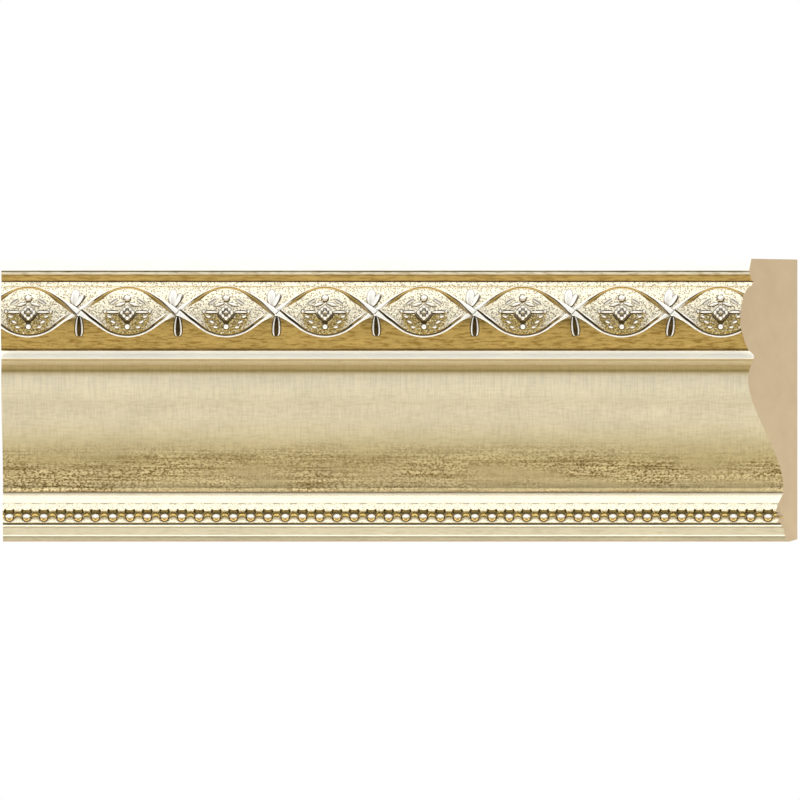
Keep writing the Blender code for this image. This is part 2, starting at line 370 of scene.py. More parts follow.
def new_tree(name, inputs):
    tree = bpy.data.node_groups.new(name, "GeometryNodeTree")
    for label, kind in (("Geometry", "NodeSocketGeometry"),) + inputs:
        tree.interface.new_socket(name=label, in_out="INPUT", socket_type=kind)
    tree.interface.new_socket(name="Geometry", in_out="OUTPUT", socket_type="NodeSocketGeometry")
    return tree, add_node(tree, "NodeGroupInput").outputs


def maths(tree, operation, first, second=None):
    """A math node on two sockets or plain numbers."""
    node = add_node(tree, "ShaderNodeMath", {"operation": operation})
    for index, value in enumerate((first, second)):
        if isinstance(value, (int, float)):
            node.inputs[index].default_value = value
        elif value is not None:
            tree.links.new(value, node.inputs[index])
    return node.outputs[0]


def finish_tree(tree, given, geometry):
    """Real geometry with the given material at the end of a tree."""
    realize = add_node(tree, "GeometryNodeRealizeInstances", Geometry=geometry)
    paint = add_node(tree, "GeometryNodeSetMaterial", Geometry=realize.outputs[0],
                     Material=given["Material"])
    add_node(tree, "NodeGroupOutput", Geometry=paint.outputs[0])
    return tree


def line_between(tree, start, end):
    """A straight line in X between two places."""
    first = add_node(tree, "ShaderNodeCombineXYZ", X=start)
    last = add_node(tree, "ShaderNodeCombineXYZ", X=end)
    return add_node(tree, "GeometryNodeCurvePrimitiveLine", Start=first.outputs[0],
                    End=last.outputs[0]).outputs[0]


def swept(tree, given, path):
    """The given section drawn along a path, closed at both ends."""
    section = add_node(tree, "GeometryNodeObjectInfo", Object=given["Section"])
    return add_node(tree, "GeometryNodeCurveToMesh", Curve=path, Fill_Caps=True,
                    Profile_Curve=section.outputs["Geometry"]).outputs[0]


def section_along_line_tree():
    """A closed section drawn along a straight line in X."""
    tree, given = new_tree("section_along_line", (
        ("Half Length", "NodeSocketFloat"), ("Section", "NodeSocketObject"),
        ("Material", "NodeSocketMaterial")))
    left = maths(tree, "MULTIPLY", given["Half Length"], -1)
    line = line_between(tree, left, given["Half Length"])
    return finish_tree(tree, given, swept(tree, given, line))


def woven_ribbon_tree():
    """A ribbon that swings up and down along X and rises where it crosses over its pair."""
    tree, given = new_tree("woven_ribbon", (
        ("Start", "NodeSocketFloat"), ("End", "NodeSocketFloat"), ("Points", "NodeSocketInt"),
        ("First Rosette", "NodeSocketFloat"), ("Pitch", "NodeSocketFloat"), ("Swing", "NodeSocketFloat"),
        ("Weave", "NodeSocketFloat"), ("Phase", "NodeSocketFloat"), ("Section", "NodeSocketObject"),
        ("Material", "NodeSocketMaterial")))
    line = line_between(tree, given["Start"], given["End"])
    resample = add_node(tree, "GeometryNodeResampleCurve", Curve=line, Count=given["Points"])
    position = add_node(tree, "GeometryNodeInputPosition")
    split = add_node(tree, "ShaderNodeSeparateXYZ", Vector=position.outputs[0])
    along = maths(tree, "SUBTRACT", split.outputs["X"], given["First Rosette"])
    turns = maths(tree, "MULTIPLY", maths(tree, "DIVIDE", along, given["Pitch"]), math.pi)
    angle = maths(tree, "ADD", turns, given["Phase"])
    up = maths(tree, "MULTIPLY", maths(tree, "COSINE", angle), given["Swing"])
    slope = maths(tree, "SINE", angle)
    squared = maths(tree, "MULTIPLY", slope, slope)
    near_crossing = maths(tree, "MULTIPLY", maths(tree, "POWER", squared, 4.0), slope)
    rise = maths(tree, "MINIMUM", near_crossing, maths(tree, "MULTIPLY", near_crossing, 1.5))
    lift = maths(tree, "MULTIPLY", rise, given["Weave"])
    offset = add_node(tree, "ShaderNodeCombineXYZ", Y=up, Z=lift)
    move = add_node(tree, "GeometryNodeSetPosition", Geometry=resample.outputs[0],
                    Offset=offset.outputs[0])
    upright = add_node(tree, "GeometryNodeSetCurveNormal", {"mode": "Z_UP"}, Curve=move.outputs[0])
    return finish_tree(tree, given, swept(tree, given, upright.outputs[0]))


def row_tree():
    """Copies of one unit at even steps along a line."""
    tree, given = new_tree("row_of_units", (
        ("Count", "NodeSocketInt"), ("First", "NodeSocketVector"), ("Step", "NodeSocketVector"),
        ("Unit", "NodeSocketObject"), ("Material", "NodeSocketMaterial")))
    line = add_node(tree, "GeometryNodeMeshLine", Count=given["Count"], Start_Location=given["First"],
                    Offset=given["Step"])
    unit = add_node(tree, "GeometryNodeObjectInfo", As_Instance=True, Object=given["Unit"])
    copies = add_node(tree, "GeometryNodeInstanceOnPoints", Points=line.outputs[0],
                      Instance=unit.outputs["Geometry"])
    return finish_tree(tree, given, copies.outputs[0])


def leaning_row_tree():
    """Copies of one unit on the host's points, each turned by the point's own lean."""
    tree, given = new_tree("leaning_row", (
        ("Unit", "NodeSocketObject"), ("Material", "NodeSocketMaterial")))
    unit = add_node(tree, "GeometryNodeObjectInfo", As_Instance=True, Object=given["Unit"])
    lean = add_node(tree, "GeometryNodeInputNamedAttribute", {"data_type": "FLOAT"}, Name="lean")
    turn = add_node(tree, "ShaderNodeCombineXYZ", Z=lean.outputs["Attribute"])
    copies = add_node(tree, "GeometryNodeInstanceOnPoints", Points=given["Geometry"],
                      Instance=unit.outputs["Geometry"], Rotation=turn.outputs[0])
    return finish_tree(tree, given, copies.outputs[0])


def grow(name, tree, values, host_mesh=None):
    """Run a node tree and return its result as plain mesh data."""
    host = placed(name + "_host", host_mesh or bpy.data.meshes.new(name + "_host"))
    modifier = host.modifiers.new("grow", "NODES")
    modifier.node_group = tree
    identifiers = {item.name: item.identifier for item in tree.interface.items_tree
                   if item.item_type == "SOCKET" and item.in_out == "INPUT"}
    for label, value in values.items():
        modifier[identifiers[label]] = value
    bpy.context.view_layer.update()
    depsgraph = bpy.context.evaluated_depsgraph_get()
    mesh = bpy.data.meshes.new_from_object(host.evaluated_get(depsgraph), depsgraph=depsgraph)
    host.modifiers.remove(modifier)
    bpy.data.objects.remove(host)
    mesh.name = name
    return mesh


def section_curve(name, points):
    """A closed flat curve to draw along a path: across in X, towards the wall in Y."""
    data = bpy.data.curves.new(name, "CURVE")
    data.dimensions = "2D"
    spline = data.splines.new("POLY")
    spline.points.add(len(points) - 1)
    for point, (across, out) in zip(spline.points, points):
        point.co = (across, out, 0.0, 1.0)
    spline.use_cyclic_u = True
    return placed(name, data)


# Materials

def stretched_noise(tree, coordinates, stretch, detail, shift=0.0):
    """Noise whose grain is stretched along the axes, in marks per metre."""
    mapping = add_node(tree, "ShaderNodeMapping", Scale=stretch, Location=(shift, shift, shift),
                          Vector=coordinates)
    return add_node(tree, "ShaderNodeTexNoise", Vector=mapping.outputs[0], Scale=1.0, Detail=detail,
                       Roughness=0.55).outputs["Fac"]


def ramp(tree, value, stops):
    """A colour ramp over a value from 0 to 1."""
    node = add_node(tree, "ShaderNodeValToRGB", Fac=value)
    elements = node.color_ramp.elements
    while len(elements) < len(stops):
        elements.new(0.5)
    for element, (place, _) in zip(elements, sorted(stops)):
        element.position = place
    for element, (_, colour) in zip(elements, sorted(stops)):
        element.color = (*colour, 1.0) if isinstance(colour, tuple) else (colour, colour, colour, 1.0)
    return node.outputs["Color"]


def height_ramp(tree, coordinates, stops):
    """A colour ramp over the height on the moulding, with its stops given as heights."""
    low = min(stop[0] for stop in stops)
    high = max(stop[0] for stop in stops)
    height = add_node(tree, "ShaderNodeSeparateXYZ", Vector=coordinates).outputs["Z"]
    share = add_node(tree, "ShaderNodeMapRange", Value=height, From_Min=low, From_Max=high).outputs[0]
    return ramp(tree, share, [((place - low) / (high - low), colour) for place, colour in stops])


def mixed(tree, share, first, second, blend="MIX"):
    node = tree.nodes.new("ShaderNodeMix")
    node.data_type = "RGBA"
    node.blend_type = blend
    for index, value in ((0, share), (6, first), (7, second)):
        if isinstance(value, bpy.types.NodeSocket):
            tree.links.new(value, node.inputs[index])
        else:
            node.inputs[index].default_value = (*value, 1.0) if isinstance(value, tuple) else value
    return node.outputs[2]


def blank_material(name):
    material = bpy.data.materials.new(name)
    material.use_nodes = True
    tree = material.node_tree
    shader = tree.nodes["Principled BSDF"]
    coordinates = tree.nodes.new("ShaderNodeTexCoord").outputs["Object"]
    return material, tree, shader, coordinates


# Colours of the finish, and the foil's tones by height on each stretch of the section.
# Dark brown of the painted shade.
SHADE_DARK = (0.035, 0.020, 0.006)
PALE_GOLD = (0.92, 0.82, 0.60)
# Pale tones of the painted highlights, mixed in where the foil should catch the light.
HIGHLIGHT_CREAM = (0.94, 0.865, 0.66)
RELIEF_HIGHLIGHT = (0.98, 0.955, 0.88)
FILLET_HIGHLIGHT = (1.0, 0.965, 0.84)
SLOPE_HIGHLIGHT = (0.76, 0.70, 0.56)
DEEP_GOLD = (0.56, 0.375, 0.11)
LINK_GOLD = (0.66, 0.49, 0.17)
CREST_GOLD = (0.60, 0.40, 0.12)
OLIVE_GOLD = (0.515, 0.415, 0.20)
LOW_GOLD = (0.59, 0.465, 0.23)
# Painted shade in the groove just under the fillet.
UNDER_FILLET_SHADE = (0.23, 0.17, 0.065)
CHAMPAGNE = (0.87, 0.77, 0.53)
# Painted shade in the punched pits.
PIT_SHADE = (0.14, 0.09, 0.03)
# The dark band of the field's tones from about 10 to 14 mm is painted shade under the fillet.
FIELD_TONES = (
    (-32.0 * MM, (0.57, 0.46, 0.24)), (-31.0 * MM, (0.57, 0.46, 0.24)), (-29.0 * MM, (0.75, 0.60, 0.31)),
    (-24.8 * MM, LOW_GOLD), (-20.6 * MM, OLIVE_GOLD), (-16.3 * MM, (0.525, 0.43, 0.235)),
    (-9.0 * MM, (0.60, 0.52, 0.34)), (-4.0 * MM, (0.70, 0.61, 0.42)), (3.0 * MM, (0.80, 0.69, 0.45)),
    (7.4 * MM, (0.79, 0.66, 0.42)), (8.6 * MM, (0.60, 0.485, 0.28)), (10.0 * MM, (0.31, 0.235, 0.095)),
    (10.6 * MM, UNDER_FILLET_SHADE), (11.3 * MM, (0.28, 0.215, 0.09)), (12.2 * MM, (0.24, 0.175, 0.075)),
    (12.9 * MM, (0.32, 0.25, 0.135)), (14.2 * MM, (0.41, 0.325, 0.175)))
BAND_TONES = ((17.0 * MM, DEEP_GOLD), (42.5 * MM, DEEP_GOLD))
GROUND_TONES = ((17.0 * MM, LINK_GOLD), (42.0 * MM, LINK_GOLD))
# The crest turns pale between 44.3 and 44.6 mm as a painted highlight on its top edge.
CREST_TONES = ((42.0 * MM, CREST_GOLD), (44.3 * MM, CREST_GOLD), (44.6 * MM, PALE_GOLD))
SLOPE_TONES = ((-44.0 * MM, CHAMPAGNE), (-32.0 * MM, CHAMPAGNE))
BED_TONES = ((-44.0 * MM, LINK_GOLD), (-32.0 * MM, LINK_GOLD))
FOOT_TONES = ((-50.0 * MM, (0.97, 0.84, 0.54)), (-48.5 * MM, (0.97, 0.84, 0.54)),
              (-48.0 * MM, CHAMPAGNE), (-43.0 * MM, CHAMPAGNE))

# Grain of the foil: marks per metre along each axis, detail, and stops from dark to light.
BRUSH_GRAIN = ((2200.0, 300.0, 150.0), 3.0, ((0.30, 0.82), (0.62, 1.0)))
STREAK_GRAIN = ((260.0, 900.0, 1500.0), 3.0, ((0.36, (0.56, 0.45, 0.27)), (0.50, 1.0), (0.64, 1.2)))
SCUFF_LINES = ((40.0, 600.0, 1500.0), 2.0, ((0.38, (0.62, 0.55, 0.42)), (0.50, 1.0), (0.62, 1.2)))
SCUFF_SPECKS = ((1100.0, 1100.0, 1700.0), 1.0,
                ((0.38, (0.42, 0.35, 0.22)), (0.50, 1.0), (0.62, (1.3, 1.32, 1.4))))
PITS_PER_METRE = 1450.0
FLECKS_PER_METRE = 1250.0
# Reach of the ambient occlusion that paints shade into hollows.
HOLLOW_REACH = 0.7 * MM
BUMP_DEPTH = 0.06 * MM


def attribute(tree, label):
    return add_node(tree, "ShaderNodeAttribute", {"attribute_name": label}).outputs["Fac"]


def punched(tree, coordinates, scale, shift, first, last):
    """Small dots scattered over a surface: 1 in each dot and 0 between them."""
    mapping = add_node(tree, "ShaderNodeMapping", Location=(shift, shift, shift), Vector=coordinates)
    dots = add_node(tree, "ShaderNodeTexVoronoi", Vector=mapping.outputs[0], Scale=scale)
    return ramp(tree, dots.outputs["Distance"], ((first, 1.0), (last, 0.0)))


def scuffs(tree, coordinates):
    """Where the broad field is scuffed: in patches, and only near its foot."""
    noise_value = stretched_noise(tree, coordinates, (26.0, 80.0, 110.0), 2.0, shift=7.0)
    patches = ramp(tree, noise_value, ((0.36, 0.15), (0.60, 1.0)))
    return maths(tree, "MULTIPLY", attribute(tree, "scuff"), patches)


def streaked(tree, rub_highlight, streaks):
    """Strength of the streaks, which fade where the painted highlight lies."""
    return maths(tree, "SUBTRACT", streaks, maths(tree, "MULTIPLY", rub_highlight, 0.75 * streaks))


def gilt(name, tones, gloss, highlight_tone=HIGHLIGHT_CREAM, highlight_diffuse=0.6, pits=0.0, deep_pits=0.0, flecks=0.0, brush=0.0,
         streaks=0.0, hollow_shade=0.0):
    """Metallic foil: a tone by height, pale where the painted highlight lies, with pits painted dark as
    shade, grain, scuffs and painted shade.
    """
    material, tree, shader, coordinates = blank_material(name)
    # Painted highlight: where it lies the foil takes the pale highlight tone.
    rub_highlight = attribute(tree, "rub_highlight")
    colour = mixed(tree, rub_highlight, height_ramp(tree, coordinates, tones), highlight_tone)
    cloud = stretched_noise(tree, coordinates, (45.0, 45.0, 90.0), 2.0)
    colour = mixed(tree, 1.0, colour, ramp(tree, cloud, ((0.3, 0.93), (0.7, 1.0))), "MULTIPLY")
    rough = maths(tree, "ADD", maths(tree, "MULTIPLY", cloud, 0.10), gloss - 0.05)
    rough = maths(tree, "ADD", rough, maths(tree, "MULTIPLY", rub_highlight, 0.12))
    height = maths(tree, "MULTIPLY", cloud, 0.1)
    scuff = scuffs(tree, coordinates) if brush else None
    worked = streaked(tree, rub_highlight, streaks) if streaks else None
    grains = ((brush or None, BRUSH_GRAIN), (worked, STREAK_GRAIN),
              (scuff, SCUFF_LINES), (scuff, SCUFF_SPECKS))
    for index, (strength, (stretch, detail, stops)) in enumerate(grains):
        if strength is None:
            continue
        grain = stretched_noise(tree, coordinates, stretch, detail, shift=4.0 * index)
        colour = mixed(tree, strength, colour, ramp(tree, grain, stops), "MULTIPLY")
        height = maths(tree, "ADD", height, maths(tree, "MULTIPLY", grain, strength))
    if flecks:
        bright = punched(tree, coordinates, FLECKS_PER_METRE, 3.0, 0.30, 0.42)
        deep = maths(tree, "SUBTRACT", 1.0, rub_highlight)
        shown = maths(tree, "MULTIPLY", maths(tree, "MULTIPLY", bright, deep), flecks)
        colour = mixed(tree, shown, colour, PALE_GOLD)
    # Pits painted dark as shade, with one strength under the painted highlight and another on deep foil.
    if pits or deep_pits:
        dots = punched(tree, coordinates, PITS_PER_METRE, 0.0, 0.34, 0.46)
        depth = maths(tree, "ADD", maths(tree, "MULTIPLY", rub_highlight, pits - deep_pits), deep_pits)
        dark = maths(tree, "MULTIPLY", dots, depth)
        colour = mixed(tree, dark, colour, PIT_SHADE)
        height = maths(tree, "SUBTRACT", height, dark)
    # Painted shade in hollows, found by ambient occlusion.
    if hollow_shade:
        hollow = add_node(tree, "ShaderNodeAmbientOcclusion", {"samples": 8}, Distance=HOLLOW_REACH)
        shaded = ramp(tree, hollow.outputs["AO"], ((0.30, hollow_shade), (0.80, 0.0)))
        colour = mixed(tree, shaded, colour, SHADE_DARK)
    patchy = ramp(tree, stretched_noise(tree, coordinates, (70.0, 200.0, 400.0), 3.0, shift=9.0),
                  ((0.25, 0.80), (0.75, 1.0)))
    # Painted shade along lines and round the relief, broken into patches.
    shade_glaze = maths(tree, "MULTIPLY", attribute(tree, "shade_glaze"), patchy)
    colour = mixed(tree, shade_glaze, colour, SHADE_DARK)
    tree.links.new(colour, shader.inputs["Base Color"])
    tree.links.new(rough, shader.inputs["Roughness"])
    # Under the painted highlight the foil is made less metallic, so that it lights up pale.
    unshaded = maths(tree, "SUBTRACT", 1.0, shade_glaze)
    bare = maths(tree, "MULTIPLY", maths(tree, "MULTIPLY", rub_highlight, highlight_diffuse), unshaded)
    tree.links.new(maths(tree, "SUBTRACT", 1.0, bare), shader.inputs["Metallic"])
    bump = add_node(tree, "ShaderNodeBump", Height=height, Strength=0.6, Distance=BUMP_DEPTH)
    tree.links.new(bump.outputs[0], shader.inputs["Normal"])
    return material


def bare_foam():
    """Sawn foamed polystyrene: flat tan with a fine closed cell."""
    material, tree, shader, coordinates = blank_material("bare_foam")
    cells = add_node(tree, "ShaderNodeTexVoronoi", Vector=coordinates, Scale=2600.0).outputs["Distance"]
    cloud = stretched_noise(tree, coordinates, (120.0, 120.0, 120.0), 3.0)
    colour = ramp(tree, cloud, ((0.3, (0.47, 0.348, 0.208)), (0.7, (0.513, 0.387, 0.232))))
    colour = mixed(tree, 0.4, colour, ramp(tree, cells, ((0.05, 0.80), (0.5, 1.0))), "MULTIPLY")
    tree.links.new(colour, shader.inputs["Base Color"])
    shader.inputs["Roughness"].default_value = 0.75
    bump = add_node(tree, "ShaderNodeBump", Height=cells, Strength=0.3, Distance=0.04 * MM)
    tree.links.new(bump.outputs[0], shader.inputs["Normal"])
    return material


def top_highlight_coat():
    """Pale, half-metallic finish on the bevel above the ridge: a painted highlight in place of the
    gilding.
    """
    material, tree, shader, coordinates = blank_material("top_highlight_coat")
    cloud = stretched_noise(tree, coordinates, (60.0, 300.0, 300.0), 4.0)
    colour = ramp(tree, cloud, ((0.3, (0.93, 0.90, 0.82)), (0.7, (0.97, 0.95, 0.88))))
    tree.links.new(colour, shader.inputs["Base Color"])
    shader.inputs["Metallic"].default_value = 0.3
    shader.inputs["Roughness"].default_value = 0.4
    return material


def make_materials():
    return {
        "foam": bare_foam(),
        # The ground finish is the pale finish painted on the top bevel as highlight.
        "ground": top_highlight_coat(),
        "crest": gilt("crest_gilt", CREST_TONES, 0.26, streaks=0.6),
        "band": gilt("band_gilt", BAND_TONES, 0.26, pits=0.7, deep_pits=0.16, streaks=0.75),
        "fillet": gilt("fillet_gilt", BAND_TONES, 0.24, highlight_tone=FILLET_HIGHLIGHT, highlight_diffuse=0.92, streaks=0.1),
        "field": gilt("field_gilt", FIELD_TONES, 0.42, brush=0.75, streaks=0.15),
        "slope": gilt("slope_gilt", SLOPE_TONES, 0.24, highlight_tone=SLOPE_HIGHLIGHT, pits=0.14, streaks=0.35),
        "bed": gilt("bed_gilt", BED_TONES, 0.24, pits=0.35, deep_pits=0.5, hollow_shade=0.2),
        "foot": gilt("foot_gilt", FOOT_TONES, 0.34, streaks=0.2),
        "relief": gilt("relief_gilt", BAND_TONES, 0.22, highlight_tone=RELIEF_HIGHLIGHT, highlight_diffuse=0.8, pits=0.1,
                       deep_pits=0.2, hollow_shade=0.55),
        "stippled": gilt("stippled_gilt", GROUND_TONES, 0.24, pits=0.75, deep_pits=0.8, flecks=0.9),
    }


# Pieces

def piece(name, mesh, smooth_angle=None):
    """A finished piece that rides on the moulding's one body."""
    thing = placed(name, mesh)
    mesh.shade_smooth()
    if smooth_angle is not None:
        mesh.set_sharp_from_angle(angle=math.radians(smooth_angle))
    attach(thing, "root")
    return thing


def body_finish(depth, height, across):
    """Which finish a face of the body has, by the middle of the face."""
    if across or depth < 0.1 * MM or height > HEIGHT / 2 - 0.02 * MM or height < -HEIGHT / 2 + 0.4 * MM:
        return "foam"
    return next(finish for lowest, finish in FINISH_FEET if height > lowest * MM)


def make_body(materials):
    """The body: its section drawn along the length, with the right end moved onto the mitre."""
    section = section_curve("body_section", [(depth, -height) for depth, height in body_outline()])
    mesh = grow("moulding_body", section_along_line_tree(), {
        "Half Length": LENGTH / 2, "Section": section, "Material": materials["band"]})
    bpy.data.objects.remove(section)
    for vertex in mesh.vertices:
        if vertex.co.x > 0:
            vertex.co.x = LENGTH / 2 + vertex.co.y
    places = read_points(mesh)
    on_face = -places[:, 1] > FACE_DEPTH
    # Painted shade along lines of the section, and painted highlight on its pale stretches.
    store(mesh, "shade_glaze", on_face * shade_at(places[:, 2]))
    store(mesh, "rub_highlight", on_face * highlight_at(places[:, 2]))
    scuffed = smooth_step((SCUFF_TOP - places[:, 2]) / SCUFF_FADE)
    store(mesh, "scuff", on_face * scuffed)
    mesh.materials.clear()
    names = list(materials)
    for name in names:
        mesh.materials.append(materials[name])
    for face in mesh.polygons:
        across = len(face.vertices) > 4
        face.material_index = names.index(body_finish(-face.center.y, face.center.z, across))
    body = piece("moulding_body", mesh, 6)
    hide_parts("wall_moulding")
    return body


# The ribbon's section on each side of a crossing, on the arc above, on the arc below, and at the
# crown and the foot of an oval. Each point is (towards the outside of the oval, lift, painted shade,
# whether the painted highlight is held back so the foil stays deep): the first two in millimetres, the
# others as shares.
RIBBON_CROSSING_HIGH = (
    (-1.75, -0.9, 0.4, 0), (-1.75, 0.03, 0.2, 0), (-1.68, 0.05, 0.1, 0), (-1.62, 0.06, 0.1, 0),
    (-1.55, 0.07, 0.1, 0), (-1.48, 0.08, 0.2, 0), (-1.40, 0.08, 0.6, 0), (-1.32, 0.07, 1.0, 0),
    (-1.16, 0.05, 1.0, 0), (-1.00, 0.08, 1.0, 0), (-0.86, 0.46, 0.3, 0), (-0.62, 0.60, 0.0, 0),
    (0.62, 0.60, 0.0, 0), (0.92, 0.36, 0.9, 0), (1.15, -0.9, 1.0, 0))
RIBBON_CROSSING_LOW = (
    (-1.80, -0.9, 0.7, 0), (-1.80, 0.05, 0.5, 0), (-1.72, 0.10, 0.2, 0), (-1.64, 0.16, 0.0, 0),
    (-1.54, 0.16, 0.0, 0), (-1.44, 0.12, 0.6, 0), (-1.36, 0.06, 1.0, 0), (-1.16, 0.04, 1.0, 0),
    (-0.98, 0.08, 1.0, 0), (-0.86, 0.46, 0.3, 0), (-0.62, 0.60, 0.0, 0), (0.60, 0.60, 0.0, 0),
    (0.86, 0.46, 0.3, 0), (1.02, 0.06, 1.0, 0), (1.25, -0.9, 1.0, 0))
RIBBON_ABOVE = (
    (-1.65, -0.9, 0.2, 1), (-1.65, 0.02, 0.2, 1), (-1.50, 0.06, 0.1, 1), (-1.25, 0.18, 0.0, 1),
    (-1.00, 0.28, 0.0, 1), (-0.80, 0.36, 0.0, 1), (-0.66, 0.38, 0.1, 1), (-0.56, 0.30, 1.0, 1),
    (-0.42, 0.10, 1.0, 0), (-0.24, 0.10, 1.0, 0), (-0.14, 0.36, 0.3, 0), (0.02, 0.46, 0.0, 0),
    (0.24, 0.38, 0.0, 0), (0.48, 0.10, 0.0, 0), (0.62, -0.9, 0.0, 0))
RIBBON_BELOW = (
    (-2.10, -0.9, 0.7, 0), (-2.10, 0.05, 0.7, 0), (-1.95, 0.15, 0.5, 0), (-1.80, 0.45, 0.0, 0),
    (-1.52, 0.52, 0.0, 0), (-1.40, 0.38, 0.7, 0), (-1.30, 0.06, 1.0, 0), (-1.00, 0.04, 1.0, 0),
    (-0.72, 0.06, 1.0, 0), (-0.58, 0.40, 0.3, 0), (-0.42, 0.56, 0.0, 0), (-0.14, 0.58, 0.0, 0),
    (0.08, 0.40, 0.0, 0), (0.22, 0.06, 0.9, 0), (0.42, -0.9, 0.9, 0))
RIBBON_CROWN = (
    (-0.50, -0.9, 0.0, 0), (-0.50, 0.0, 0.0, 0), (-0.44, 0.05, 0.0, 0), (-0.38, 0.09, 0.0, 0),
    (-0.32, 0.13, 0.1, 1), (-0.26, 0.16, 0.1, 1), (-0.20, 0.18, 0.2, 1), (-0.08, 0.17, 0.5, 1),
    (0.06, 0.13, 0.6, 1), (0.15, 0.12, 0.4, 1), (0.22, 0.14, 0.1, 1), (0.30, 0.13, 0.0, 0),
    (0.40, 0.10, 0.0, 0), (0.50, 0.02, 0.0, 0), (0.55, -0.9, 0.0, 0))
RIBBON_FOOT = (
    (-0.80, -0.9, 0.3, 1), (-0.80, 0.02, 0.3, 1), (-0.70, 0.04, 0.3, 1), (-0.60, 0.05, 0.3, 1),
    (-0.50, 0.05, 0.4, 1), (-0.42, 0.05, 0.6, 1), (-0.32, 0.05, 1.0, 1), (-0.16, 0.05, 1.0, 1),
    (0.0, 0.10, 0.9, 0), (0.12, 0.38, 0.2, 0), (0.22, 0.48, 0.0, 0), (0.38, 0.48, 0.0, 0),
    (0.50, 0.32, 0.0, 0), (0.62, 0.05, 0.9, 0), (0.75, -0.9, 0.9, 0))


def blended(first, second, amount):
    amount = smooth_step(amount)
    return first * (1 - amount) + second * amount


def shape_ribbon(mesh):
    """Give each ring of a swept ribbon the section that belongs to its place on the oval."""
    high, low, above, below, crown, foot = (
        np.array(section) for section in (RIBBON_CROSSING_HIGH, RIBBON_CROSSING_LOW, RIBBON_ABOVE,
                                          RIBBON_BELOW, RIBBON_CROWN, RIBBON_FOOT))
    rings = read_points(mesh).reshape(-1, len(high), 3)
    middle = (rings[:, 0] + rings[:, -1]) / 2
    across = rings[:, -1] - rings[:, 0]
    across /= np.linalg.norm(across, axis=1)[:, None]
    backwards = across[0, 1] < 0
    if backwards:
        rings = rings[:, ::-1]
        across = -across
    share = (np.abs(middle[:, 1]) / RIBBON_SWING)[:, None, None]
    upper = blended(blended(high, above, share / 0.6), crown, (share - 0.6) / 0.4)
    lower = blended(blended(low, below, share / 0.4), foot, (share - 0.42) / 0.48)
    lower = lower[:, ::-1] * np.array([-1.0, 1.0, 1.0, 1.0])
    section = np.where((middle[:, 1] > 0)[:, None, None], upper, lower)
    shaped = middle[:, None, :] * np.array([1.0, 1.0, 0.0])
    shaped = shaped + across[:, None, :] * section[:, :, :1] * MM
    lifted = (rings[:, :1, 2] + RIBBON_SINK) * (section[:, :, 1] > -0.5)
    shaped[:, :, 2] = lifted + section[:, :, 1] * MM
    if backwards:
        shaped = shaped[:, ::-1]
        section = section[:, ::-1]
    write_points(mesh, shaped.reshape(-1, 3))
    # Painted shade in the groove and along the edges, the painted highlight held back on the shaded
    # flanks, and painted highlight on the high ridges.
    store(mesh, "shade_glaze", section[:, :, 2].ravel())
    store(mesh, "unhighlighted", section[:, :, 3].ravel())
    store(mesh, "raised_highlight", smooth_step(section[:, :, 1].ravel() / 0.25 - 1.0))


def make_ribbons(materials):
    points = [(point[0] * MM, -point[1] * MM) for point in RIBBON_CROSSING_HIGH]
    section = section_curve("ribbon_section", points)
    tree = woven_ribbon_tree()
    for name, phase in (("ribbon_first", 0.0), ("ribbon_second", math.pi)):
        mesh = grow(name, tree, {
            "Start": -LENGTH / 2 - 6 * MM, "End": LENGTH / 2 + 2 * MM, "Points": 900,
            "First Rosette": FIRST_ROSETTE, "Pitch": ROSETTE_PITCH, "Swing": RIBBON_SWING,
            "Weave": RIBBON_WEAVE, "Phase": phase, "Section": section, "Material": materials["relief"]})
        shape_ribbon(mesh)
        lay_on_band(mesh)
        cut_to_length(mesh)
        bare_cuts(mesh, materials["foam"])
        store_highlight(mesh)
        piece(name, mesh, 50)
    bpy.data.objects.remove(section)


def closed_patch(rings, peak):
    """Faces that join rings of vertex numbers, inner first, and close them behind and at the peak."""
    faces = []
    for near, far in zip(rings, rings[1:]):
        for index in range(len(near)):
            following = (index + 1) % len(near)
            faces.append((near[index], far[index], far[following], near[following]))
    faces.append(tuple(rings[-1]))
    for index in range(len(rings[0])):
        faces.append((rings[0][index], rings[0][(index + 1) % len(rings[0])], peak))
    return faces


